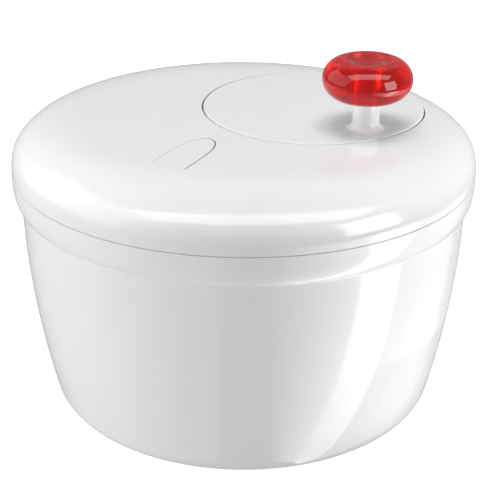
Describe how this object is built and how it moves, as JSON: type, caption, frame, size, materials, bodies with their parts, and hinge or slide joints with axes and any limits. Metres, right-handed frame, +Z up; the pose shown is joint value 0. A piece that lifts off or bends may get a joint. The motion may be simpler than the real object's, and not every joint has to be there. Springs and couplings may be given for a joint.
{
  "type": "salad spinner",
  "caption": "Round salad spinner: deep bowl, slotted basket, domed lid with an off-centre crank disc and palm knob, internal gear drive, and a press key that brakes the basket.",
  "frame": {"origin": "centre of the non-slip ring under the bowl, on the table", "axes": "+Z up along the bowl's axis; -Y is the front, and the crank disc lies to the right and slightly to the back"},
  "size_m": [0.27, 0.27, 0.214],
  "materials": {
    "white_gloss": "polished white ABS",
    "white_satin": "satin white polypropylene",
    "acetal": "natural acetal, satin",
    "red_clear": "clear red plastic, polished",
    "rubber": "matt thermoplastic rubber",
    "steel": "plain stainless steel"
  },
  "bodies": {
    "bowl": {"bowl": "white_gloss", "non_slip_ring": "rubber"},
    "pivot": {"pivot_foot": "acetal", "pivot_clip": "steel"},
    "basket": {"basket": "white_satin", "basket_bush": "acetal"},
    "lid": {"lid_shell": "white_gloss", "gear_housing": "white_satin", "housing_screw_1": "steel", "housing_screw_2": "steel", "housing_screw_3": "steel", "housing_screw_4": "steel", "disc_bush": "acetal", "spindle_bush": "acetal", "brake_bracket": "white_satin", "bracket_screw_1": "steel", "bracket_screw_2": "steel", "brake_pin": "steel", "brake_spring": "steel"},
    "crank": {"crank_disc": "white_gloss", "ring_gear": "acetal", "disc_washer": "steel", "disc_screw": "steel", "knob_sleeve": "acetal", "knob_washer": "steel", "knob_screw": "steel"},
    "knob": {"knob_body": "red_clear", "knob_cap": "red_clear"},
    "drive": {"pinion": "acetal", "spindle": "steel", "drive_plate": "white_satin", "driver_washer": "steel", "driver_screw": "steel"},
    "brake": {"brake_key": "white_gloss", "brake_pad": "rubber"}
  },
  "joints": [
    {"name": "lid_lift", "type": "slide", "parent": "bowl", "child": "lid", "axis": [0, 0, 1], "range_m": [0, 0.3]},
    {"name": "basket_lift", "type": "slide", "parent": "bowl", "child": "pivot", "axis": [0, 0, 1], "range_m": [0, 0.15]},
    {"name": "basket_spin", "type": "hinge", "parent": "pivot", "child": "basket", "pos_m": [0, 0, 0.02], "axis": [0, 0, 1], "continuous": true},
    {"name": "drive_spin", "type": "hinge", "parent": "lid", "child": "drive", "pos_m": [0, 0, 0.158], "axis": [0, 0, 1], "continuous": true},
    {"name": "crank_spin", "type": "hinge", "parent": "lid", "child": "crank", "pos_m": [0.04077, 0.01927, 0.171], "axis": [0, 0, 1], "continuous": true},
    {"name": "knob_spin", "type": "hinge", "parent": "crank", "child": "knob", "pos_m": [0.06896, -0.01733, 0.203], "axis": [0, 0, 1], "continuous": true},
    {"name": "brake_press", "type": "hinge", "parent": "lid", "child": "brake", "pos_m": [-0.03793, -0.07607, 0.1665], "axis": [-0.8949, 0.4462, 0], "range_deg": [0, 5.8], "stiffness_Nm_per_rad": 0.045, "springref_deg": -17.19, "deforming": ["brake_spring"]}
  ],
  "couplings": [
    {"joint": "drive_spin", "follows": "basket_spin", "ratio": 1},
    {"joint": "crank_spin", "follows": "basket_spin", "ratio": 0.2},
    {"joint": "basket_lift", "follows": "lid_lift", "ratio": 0.5}
  ]
}
